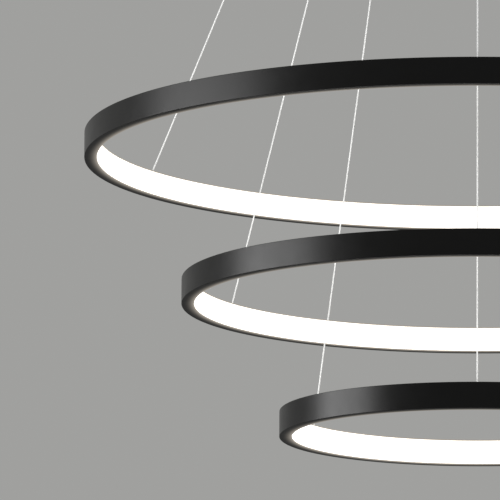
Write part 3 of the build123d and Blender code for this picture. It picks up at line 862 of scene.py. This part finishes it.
class CHANDELIER_OT_anchors(bpy.types.Operator):
    """Turns the wire bushes and the joint screws in the rings' tops"""

    bl_idname = "chandelier.anchors"
    bl_label = "Bushes and joint screws"

    def execute(self, context):
        first = self.bush(context)
        start = anchor("ring1", "front")
        for ring, side in all_grippers():
            shift = anchor(ring, side) - start
            piece = copy_of(first, f"{ring}_bush_{side}", shift)
            place_on(piece, ring, "white_plastic", finish("white_plastic"), f"{ring}_wire_bushes")
        bpy.data.objects.remove(first)
        first = self.screw(context)
        start = splice_screw_places("ring1")[0]
        for ring in RINGS:
            for number, place in enumerate(splice_screw_places(ring), 1):
                piece = copy_of(first, f"{ring}_joint_screw_{number}", place - start)
                place_on(piece, ring, "black_screw", finish("black_screw"), f"{ring}_splice_screws")
        bpy.data.objects.remove(first)
        return {"FINISHED"}

    def bush(self, context):
        sizes, flange = context.scene.fitting_sizes, context.scene.ring_sizes.flange
        bore = sizes.wire_diameter / 2 + sizes.bush_play
        neck, collar = sizes.bush_neck / 2, sizes.bush_collar / 2
        foot = -flange - sizes.bush_collar_height
        points = [(bore, foot), (collar, foot), (collar, -flange), (neck, -flange), (neck, 0), (bore, 0)]
        return turned_ring("bush", anchor("ring1", "front"), points, [points[4], points[1]], 0.25 * MM, 32)

    def screw(self, context):
        sizes, flange = context.scene.fitting_sizes, context.scene.ring_sizes.flange
        shank, head = sizes.splice_screw / 2, sizes.splice_screw_head / 2
        head_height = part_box("ring1_splice_screws")[1].z - ring_heights("ring1")[1]
        foot = -flange - sizes.splice_plate
        points = [(0, foot), (shank, foot), (shank, 0), (head, 0), (head, head_height), (0, head_height)]
        centre = splice_screw_places("ring1")[0]
        piece = outline("joint_screw", centre, points)
        round_corners(piece, centre, [points[4]], 0.6 * MM, 4)
        turn(centre, 32)
        settle(piece)
        top = centre.z + head_height
        cut(piece, [cutter_rod(centre, 0.85 * MM, top - 0.8 * MM, top + MM, 6)])
        smooth(piece)
        return piece


class CHANDELIER_OT_wires(bpy.types.Operator):
    """Draws the nine taut wires from the grippers to the rings"""

    bl_idname = "chandelier.wires"
    bl_label = "Wires"

    def execute(self, context):
        radius = context.scene.fitting_sizes.wire_diameter / 2
        for ring, side in all_grippers():
            upper = gripper_place(ring, side)
            upper.z = nose_tip()
            lower = anchor(ring, side)
            along = upper - lower
            deselect()
            bpy.ops.mesh.primitive_cylinder_add(
                vertices=16, radius=radius, depth=along.length + 8 * radius, location=(upper + lower) / 2,
                rotation=along.to_track_quat("Z", "Y").to_euler(),
            )
            piece = named(bpy.context.object, f"{ring}_wire_run_{side}")
            settle(piece)
            edit(piece)
            for place, outwards in ((upper, (0, 0, 1)), (lower, (0, 0, -1))):
                bpy.ops.mesh.select_all(action="SELECT")
                bpy.ops.mesh.bisect(plane_co=place, plane_no=outwards, use_fill=True, clear_outer=True)
            leave_edit()
            smooth(piece, 60)
            place_on(piece, "canopy", "wire_jacket", finish("wire_jacket"), f"{ring}_wire_{side}")
            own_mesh(piece)
        return {"FINISHED"}


class CHANDELIER_OT_canopy(bpy.types.Operator):
    """Spins the round canopy, with its holes, and turns its two side screws and four welded studs"""

    bl_idname = "chandelier.canopy"
    bl_label = "Canopy"

    def execute(self, context):
        self.cover(context)
        self.side_screws(context)
        self.studs(context)
        return {"FINISHED"}

    def cover(self, context):
        sizes, fittings = context.scene.canopy_sizes, context.scene.fitting_sizes
        low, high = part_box("canopy_cover")
        radius = (high.y - low.y) / 2
        height = high.z - low.z
        inner = radius - sizes.wall
        centre = Vector((0, 0, low.z))
        points = [(0, 0), (radius, 0), (radius, height), (inner, height), (inner, sizes.wall), (0, sizes.wall)]
        piece = outline("canopy_drum", centre, points)
        round_corners(piece, centre, [points[1]], sizes.edge_radius, 8)
        round_corners(piece, centre, [points[4]], sizes.edge_radius - sizes.wall, 6)
        round_corners(piece, centre, points[2:4], sizes.rim_radius, 2)
        turn(centre, sizes.steps)
        settle(piece)
        bore = fittings.shank / 2 + fittings.fit_play
        cutters = [
            cutter_rod(gripper_place(ring, side), bore, low.z - 2 * MM, low.z + 4 * MM)
            for ring, side in all_grippers()
        ]
        screw_height = sum(corner.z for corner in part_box("cover_screws")) / 2
        side_bore = sizes.screw / 2 + sizes.screw_play
        for side in (-1, 1):
            cutters.append(cutter_crossbar((side * radius, 0, screw_height), side_bore, 4 * sizes.wall))
        cut(piece, cutters)
        smooth(piece)
        place_on(piece, "canopy", "canopy_finish", finish("canopy_finish"), "canopy_cover")

    def side_screws(self, context):
        sizes = context.scene.canopy_sizes
        low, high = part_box("cover_screws")
        seat = (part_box("canopy_cover")[1].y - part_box("canopy_cover")[0].y) / 2
        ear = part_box("ceiling_bracket")[1].x
        foot = ear - seat - 3.5 * MM
        head_height = high.x - seat
        shank, head = sizes.screw / 2, sizes.screw_head / 2
        points = [(0, foot), (shank, foot), (shank, 0), (head, 0), (head, head_height), (0, head_height)]
        for side, name in ((-1, "left"), (1, "right")):
            centre = Vector((0, 0, 0))
            piece = outline(f"cover_screw_{name}", centre, points)
            round_corners(piece, centre, [points[4]], 0.9 * MM, 4)
            round_corners(piece, centre, [points[3]], 0.3 * MM, 2)
            turn(centre, 48)
            settle(piece)
            deselect()
            slot_place = (0, 0, head_height)
            bpy.ops.mesh.primitive_cube_add(size=1, location=slot_place, scale=(2 * sizes.screw_head, MM, 2.4 * MM))
            cut(piece, [bpy.context.object])
            piece.rotation_euler = (0, side * pi / 2, 0)
            piece.location = (side * seat, 0, (low.z + high.z) / 2)
            settle(piece)
            smooth(piece)
            place_on(piece, "canopy", "black_screw", finish("black_screw"), "cover_screws")


    def studs(self, context):
        sizes = context.scene.canopy_sizes
        radius, pitch, top = sizes.stud / 2, sizes.stud_pitch, sizes.stud_length
        bead = 0.5 * MM
        start = stud_places()[0][0]
        points = [(0, 0), (radius + bead, 0), (radius, bead)]
        points += thread_points(radius, pitch, 1.2 * MM, top)
        points += [(radius - 0.4 * pitch, top), (0, top)]
        first = outline("stud", start, points)
        turn(start, 24)
        settle(first)
        smooth(first)
        nut = hex_nut("nut", start, sizes.stud_nut, sizes.stud_nut_height, radius + context.scene.fitting_sizes.fit_play)
        for number, (place, seat) in enumerate(stud_places(), 1):
            piece = copy_of(first, f"welded_stud_{number}", place - start)
            place_on(piece, "canopy", "zinc_steel", finish("zinc_steel"), "canopy_cover")
            piece = copy_of(nut, f"stud_nut_{number}", place - start + Vector((0, 0, seat)))
            place_on(piece, "canopy", "zinc_steel", finish("zinc_steel"), "stud_nuts")
        bpy.data.objects.remove(first)
        bpy.data.objects.remove(nut)


class CHANDELIER_OT_ceiling_bracket(bpy.types.Operator):
    """Folds the ceiling bracket, with its slots, supply hole and tapped ears"""

    bl_idname = "chandelier.ceiling_bracket"
    bl_label = "Ceiling bracket"

    def execute(self, context):
        sizes = context.scene.canopy_sizes
        low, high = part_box("ceiling_bracket")
        sheet, reach = sizes.bracket_sheet, high.x
        inner = reach - sheet
        centre = Vector((0, low.y, 0))
        points = [
            (-reach, low.z), (-reach, 0), (reach, 0), (reach, low.z),
            (inner, low.z), (inner, -sheet), (-inner, -sheet), (-inner, low.z),
        ]
        piece = outline("folded_bracket", centre, points)
        fill_outline()
        round_corners(piece, centre, points[1:3], sizes.bracket_fold + sheet, 8)
        round_corners(piece, centre, points[5:7], sizes.bracket_fold, 6)
        bpy.ops.mesh.select_all(action="SELECT")
        bpy.ops.mesh.extrude_region_move(TRANSFORM_OT_translate={"value": (0, high.y - low.y, 0)})
        bpy.ops.mesh.select_all(action="SELECT")
        bpy.ops.mesh.normals_make_consistent(inside=False)
        self.round_ears(piece, low.z, sizes)
        leave_edit()
        settle(piece)
        cutters = [cutter_rod(Vector(), sizes.supply_hole / 2, -2 * sheet, sheet, 48)]
        screw_height = sum(corner.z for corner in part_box("cover_screws")) / 2
        width = sizes.ceiling_slot
        for side in (-1, 1):
            slot_place = Vector((side * sizes.ceiling_slot_spacing / 2, 0, 0))
            stretch = sizes.ceiling_slot_length - width
            cutters.append(cutter_slot(slot_place, width / 2, stretch, -2 * sheet, sheet))
            tapped = sizes.screw / 2 + context.scene.fitting_sizes.fit_play
            cutters.append(cutter_crossbar((side * reach, 0, screw_height), tapped, 2 * sheet))
        cut(piece, cutters)
        round_edges(piece, 0.15 * MM)
        smooth(piece)
        place_on(piece, "canopy", "zinc_steel", finish("zinc_steel"), "ceiling_bracket")
        return {"FINISHED"}

    def round_ears(self, piece, foot, sizes):
        """rounds the ears' lower corners: their short edges, across the sheet"""
        bpy.ops.mesh.select_mode(type="EDGE")
        bpy.ops.mesh.select_all(action="DESELECT")
        mesh = bmesh.from_edit_mesh(piece.data)
        near = MM / 20
        for edge in mesh.edges:
            ends = [piece.matrix_world @ vertex.co for vertex in edge.verts]
            at_foot = all(abs(end.z - foot) < near for end in ends)
            across = abs(ends[0].y - ends[1].y) < near
            edge.select_set(at_foot and across)
        bmesh.update_edit_mesh(piece.data)
        bpy.ops.mesh.bevel(offset=sizes.ear_corner, segments=6, affect="EDGES")


class CHANDELIER_OT_electrics(bpy.types.Operator):
    """Dresses the led driver, the terminal block and the leads and crimps inside the canopy"""

    bl_idname = "chandelier.electrics"
    bl_label = "Electrics in the canopy"

    def execute(self, context):
        self.driver(context)
        for name, node, slot, edge in (
            ("terminal_housing", "terminal_block", "white_plastic", 0.35 * MM),
            ("pole_screws", "terminal_screws", "zinc_steel", 0.12 * MM),
            ("crimp_sleeves", "tail_crimps", "crimp_sleeve", 0.3 * MM),
            ("wire_ends_inside", "wire_tails", "wire_jacket", 0),
            ("leads_to_driver", "output_leads", "lead_jacket", 0),
            ("mains_leads", "supply_leads", "supply_jacket", 0),
            ("earth_wire", "earth_lead", "earth_jacket", 0),
        ):
            piece = merged_copy(name, node)
            if edge:
                round_edges(piece, edge)
            smooth(piece)
            place_on(piece, "canopy", node_slot(frame["nodes"][node]), finish(slot), node)
        return {"FINISHED"}

    def driver(self, context):
        """the driver's case, with rounded edges and the seam of its lid, and its two screw tabs"""
        sizes, play = context.scene.canopy_sizes, context.scene.fitting_sizes.fit_play
        low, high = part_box("led_driver")
        reach = Vector((sizes.tab, 0, 0))
        case = self.block("driver_housing", low + reach, high - reach, 0.8 * MM)
        edit(case, "FACE")
        select_faces(case, lambda face: face.normal.z > 0.99 and face.calc_area() > 100 * MM * MM)
        bpy.ops.mesh.inset(thickness=2.6 * MM)
        bpy.ops.mesh.inset(thickness=0.35 * MM, depth=-0.5 * MM)
        bpy.ops.mesh.inset(thickness=0.35 * MM, depth=0.5 * MM)
        leave_edit()
        pieces = [case]
        half = Vector((sizes.tab / 2, sizes.tab_width / 2, 0))
        for name, (place, seat) in zip(("left", "right"), stud_places()):
            tab = self.block(f"driver_tab_{name}", place - half, place + half + Vector((0, 0, seat)), 0.4 * MM)
            cut(tab, [cutter_rod(place, sizes.stud / 2 + play, place.z - MM, place.z + seat + MM)])
            pieces.append(tab)
        for piece in pieces:
            smooth(piece)
            place_on(piece, "canopy", "driver_case", finish("driver_case"), "led_driver")

    def block(self, name, low, high, edge):
        """a box between two corners, with rounded edges"""
        deselect()
        bpy.ops.mesh.primitive_cube_add(size=1, location=(low + high) / 2, scale=high - low)
        piece = named(bpy.context.object, name)
        settle(piece)
        round_edges(piece, edge, 3)
        return piece


class CHANDELIER_OT_grippers(bpy.types.Operator):
    """Turns the nine wire grippers with their threaded shanks, nuts and release plungers"""

    bl_idname = "chandelier.grippers"
    bl_label = "Wire grippers"

    def execute(self, context):
        makers = (
            (self.body, "gripper", lambda ring, side: ("canopy", "gripper_bodies")),
            (self.nut, "gripper_nut", lambda ring, side: ("canopy", "gripper_nuts")),
            (self.plunger, "release", lambda ring, side: (f"{ring}_plunger_{side}", f"{ring}_plunger_{side}")),
        )
        start = gripper_place("ring1", "front")
        for make, word, belongs in makers:
            first = make(context, start)
            for ring, side in all_grippers():
                body, node = belongs(ring, side)
                piece = copy_of(first, f"{ring}_{word}_{side}", gripper_place(ring, side) - start)
                place_on(piece, body, "nickel", finish("nickel"), node)
            bpy.data.objects.remove(first)
        return {"FINISHED"}

    def body(self, context, centre):
        sizes = context.scene.fitting_sizes
        low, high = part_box("gripper_bodies")
        barrel, shank, bore = sizes.barrel / 2, sizes.shank / 2, sizes.shank_bore / 2
        foot, head = low.z - centre.z, high.z - centre.z
        mouth = sizes.nose / 2 + sizes.plunger_play
        chamber = sizes.chamber / 2
        ledge = foot + sizes.mouth_depth
        groove = 0.3 * MM
        points = [(mouth, foot), (barrel, foot)]
        for start in (foot + 2.5 * MM, foot + 4.0 * MM):
            points += [(barrel, start), (barrel - groove, start + groove)]
            points += [(barrel - groove, start + 2 * groove), (barrel, start + 3 * groove)]
        points += [(barrel, 0), (shank, 0)]
        pitch = sizes.thread_pitch
        points += thread_points(shank, pitch, 1.4 * MM, head)
        points += [(shank - 0.3 * pitch, head), (bore, head), (bore, -sizes.chamber_roof)]
        points += [(chamber, -sizes.chamber_roof), (chamber, ledge), (mouth, ledge)]
        corners = [(barrel, foot), (barrel, 0)]
        return turned_ring("gripper", centre, points, corners, sizes.barrel_edge, 40)

    def plunger(self, context, centre):
        sizes = context.scene.fitting_sizes
        low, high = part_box("ring1_plunger_front")
        tip, top = low.z - centre.z, high.z - centre.z
        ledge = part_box("gripper_bodies")[0].z - centre.z + sizes.mouth_depth
        nose, collar, neck = sizes.nose / 2, sizes.plunger_collar / 2, sizes.plunger_neck / 2
        bore = sizes.plunger_bore / 2
        shoulder = ledge + sizes.plunger_collar_height
        groove = 0.25 * MM
        points = [(bore, tip), (nose, tip)]
        for start in (tip + 1.6 * MM, tip + 2.8 * MM):
            points += [(nose, start), (nose - groove, start + groove)]
            points += [(nose - groove, start + 2 * groove), (nose, start + 3 * groove)]
        points += [(nose, ledge), (collar, ledge), (collar, shoulder), (neck, shoulder), (neck, top), (bore, top)]
        return turned_ring("release", centre, points, [(nose, tip)], sizes.nose_edge, 32)

    def nut(self, context, centre):
        sizes, wall = context.scene.fitting_sizes, context.scene.canopy_sizes.wall
        foot = Vector((centre.x, centre.y, centre.z + wall))
        return hex_nut("gripper_nut", foot, sizes.nut_flats, sizes.nut_height, sizes.shank / 2 + sizes.fit_play)


class CHANDELIER_OT_inner_finishes(bpy.types.Operator):
    """Gives every frame node that still shows its own finish"""

    bl_idname = "chandelier.inner_finishes"
    bl_label = "Finishes of the other pieces"

    def execute(self, context):
        for name, node in frame["nodes"].items():
            if node.hide_render:
                continue
            slot = next(m["slot"] for m in frame["record"]["materials"] if node_slot(node) == m["slot"])
            node.data.materials.clear()
            node.data.materials.append(finish(slot))
        return {"FINISHED"}


def node_slot(node):
    """the record slot a frame node was packed with"""
    word = node.data.materials[0].name
    return word.removesuffix("_plain")


class CHANDELIER_OT_stage(bpy.types.Operator):
    """Sets up the pale floor, the even light, the softboxes and the camera"""

    bl_idname = "chandelier.stage"
    bl_label = "Stage"

    camera_place = Vector((0.0, -6.774, -1.986))
    camera_pitch = radians(10.084)
    camera_yaw = radians(1.952)
    camera_roll = radians(0.388)
    camera_lens = 487.8

    def execute(self, context):
        self.camera(context)
        self.floor(context)
        self.world(context)
        self.lamps(context)
        context.scene.view_settings.view_transform = "Standard"
        return {"FINISHED"}

    def camera(self, context):
        turn_up = Matrix.Rotation(pi / 2 + self.camera_pitch, 3, "X")
        facing = Matrix.Rotation(self.camera_yaw, 3, "Z") @ turn_up @ Matrix.Rotation(self.camera_roll, 3, "Z")
        deselect()
        bpy.ops.object.camera_add(location=self.camera_place, rotation=facing.to_euler())
        camera = bpy.context.object
        camera.data.lens = self.camera_lens
        camera.data.clip_start = 0.1
        camera.data.clip_end = 200.0
        context.scene.camera = camera

    def floor(self, context):
        studio = context.scene.studio
        deselect()
        bpy.ops.mesh.primitive_plane_add(size=160, location=(0, 0, -studio.floor_drop))
        floor = named(bpy.context.object, "floor")
        material, tree, shader = new_finish("floor", Roughness=0.8)
        cloud = noise(tree, object_place(tree), 3.0, 3.0)
        base = tuple(studio.floor)
        tree.links.new(blend_colours(tree, cloud, tone(base, 0.99), tone(base, 1.01)), shader.inputs["Base Color"])
        clear = add_node(tree, "ShaderNodeBsdfTransparent")
        under = add_node(tree, "ShaderNodeNewGeometry").outputs["Backfacing"]
        mirrored = add_node(tree, "ShaderNodeLightPath").outputs["Is Glossy Ray"]
        unseen = add_node(tree, "ShaderNodeMath", {0: under, 1: mirrored}, operation="MAXIMUM").outputs["Value"]
        mix = add_node(tree, "ShaderNodeMixShader", {0: unseen, 1: shader.outputs[0], 2: clear.outputs[0]})
        tree.links.new(mix.outputs[0], tree.nodes["Material Output"].inputs["Surface"])
        floor.data.materials.append(material)

    def world(self, context):
        """grey behind the object and in all that mirrors it, and even light on it"""
        studio = context.scene.studio
        world = bpy.data.worlds.new("studio")
        context.scene.world = world
        world.use_nodes = True
        tree = world.node_tree
        even = tree.nodes["Background"]
        even.inputs["Color"].default_value = (1, 1, 1, 1)
        even.inputs["Strength"].default_value = studio.daylight
        wall = add_node(tree, "ShaderNodeBackground", {"Color": opaque(studio.wall), "Strength": 1.0})
        path = add_node(tree, "ShaderNodeLightPath").outputs
        seen = path["Is Camera Ray"]
        for kind in ("Is Glossy Ray", "Is Transmission Ray"):
            seen = add_node(tree, "ShaderNodeMath", {0: seen, 1: path[kind]}, operation="MAXIMUM").outputs["Value"]
        mix = add_node(tree, "ShaderNodeMixShader", {0: seen, 1: even.outputs[0], 2: wall.outputs[0]})
        tree.links.new(mix.outputs[0], tree.nodes["World Output"].inputs["Surface"])

    def lamps(self, context):
        studio = context.scene.studio
        size = (2.8, 2.0)
        self.lamp("softbox_left", (-4.0, -0.58, -0.95), size, studio.side_lamp)
        self.lamp("softbox_right", (4.0, -0.58, -0.95), size, studio.side_lamp * studio.other_side)
        fill = self.lamp("front_fill", (0.0, -6.0, 1.0), (3.0, 3.0), studio.fill_lamp)
        fill.visible_glossy = False

    def lamp(self, name, place, size, power):
        """a rectangular softbox that faces the rings and that the camera doesn't see"""
        facing = Vector((0, 0, -0.7)) - Vector(place)
        deselect()
        bpy.ops.object.light_add(type="AREA", location=place, rotation=facing.to_track_quat("-Z", "Y").to_euler())
        lamp = bpy.context.object
        lamp.name = name
        lamp.data.shape = "RECTANGLE"
        lamp.data.size, lamp.data.size_y = size
        lamp.data.energy = power
        lamp.visible_camera = False
        return lamp


class CHANDELIER_PT_sidebar(bpy.types.Panel):
    """Lists the chandelier's sizes, colours and making steps"""

    bl_idname = "CHANDELIER_PT_sidebar"
    bl_label = "Led ring chandelier"
    bl_space_type = "VIEW_3D"
    bl_region_type = "UI"
    bl_category = "Chandelier"

    def draw(self, context):
        layout = self.layout
        for group in PROPERTY_GROUPS:
            box = layout.box()
            box.label(text=group.bl_rna.description)
            values = getattr(context.scene, PROPERTY_GROUPS[group])
            for name in group.__annotations__:
                box.prop(values, name)
        for operator in OPERATORS:
            layout.operator(operator.bl_idname)


PROPERTY_GROUPS = {
    RingSizes: "ring_sizes",
    FittingSizes: "fitting_sizes",
    CanopySizes: "canopy_sizes",
    Finishes: "finishes",
    Studio: "studio",
}
OPERATORS = (
    CHANDELIER_OT_stage,
    CHANDELIER_OT_ring_profiles,
    CHANDELIER_OT_diffusers,
    CHANDELIER_OT_anchors,
    CHANDELIER_OT_wires,
    CHANDELIER_OT_canopy,
    CHANDELIER_OT_ceiling_bracket,
    CHANDELIER_OT_electrics,
    CHANDELIER_OT_grippers,
    CHANDELIER_OT_inner_finishes,
)


def register():
    for group, name in PROPERTY_GROUPS.items():
        bpy.utils.register_class(group)
        setattr(bpy.types.Scene, name, PointerProperty(type=group))
    for operator in OPERATORS:
        bpy.utils.register_class(operator)
    bpy.utils.register_class(CHANDELIER_PT_sidebar)


def unregister():
    bpy.utils.unregister_class(CHANDELIER_PT_sidebar)
    for operator in reversed(OPERATORS):
        bpy.utils.unregister_class(operator)
    for group, name in PROPERTY_GROUPS.items():
        delattr(bpy.types.Scene, name)
        bpy.utils.unregister_class(group)


def main():
    register()
    bpy.ops.chandelier.stage()
    bpy.ops.chandelier.ring_profiles()
    bpy.ops.chandelier.diffusers()
    bpy.ops.chandelier.anchors()
    bpy.ops.chandelier.wires()
    bpy.ops.chandelier.canopy()
    bpy.ops.chandelier.ceiling_bracket()
    bpy.ops.chandelier.electrics()
    bpy.ops.chandelier.grippers()
    bpy.ops.chandelier.inner_finishes()


if __name__ == "__main__":
    main()
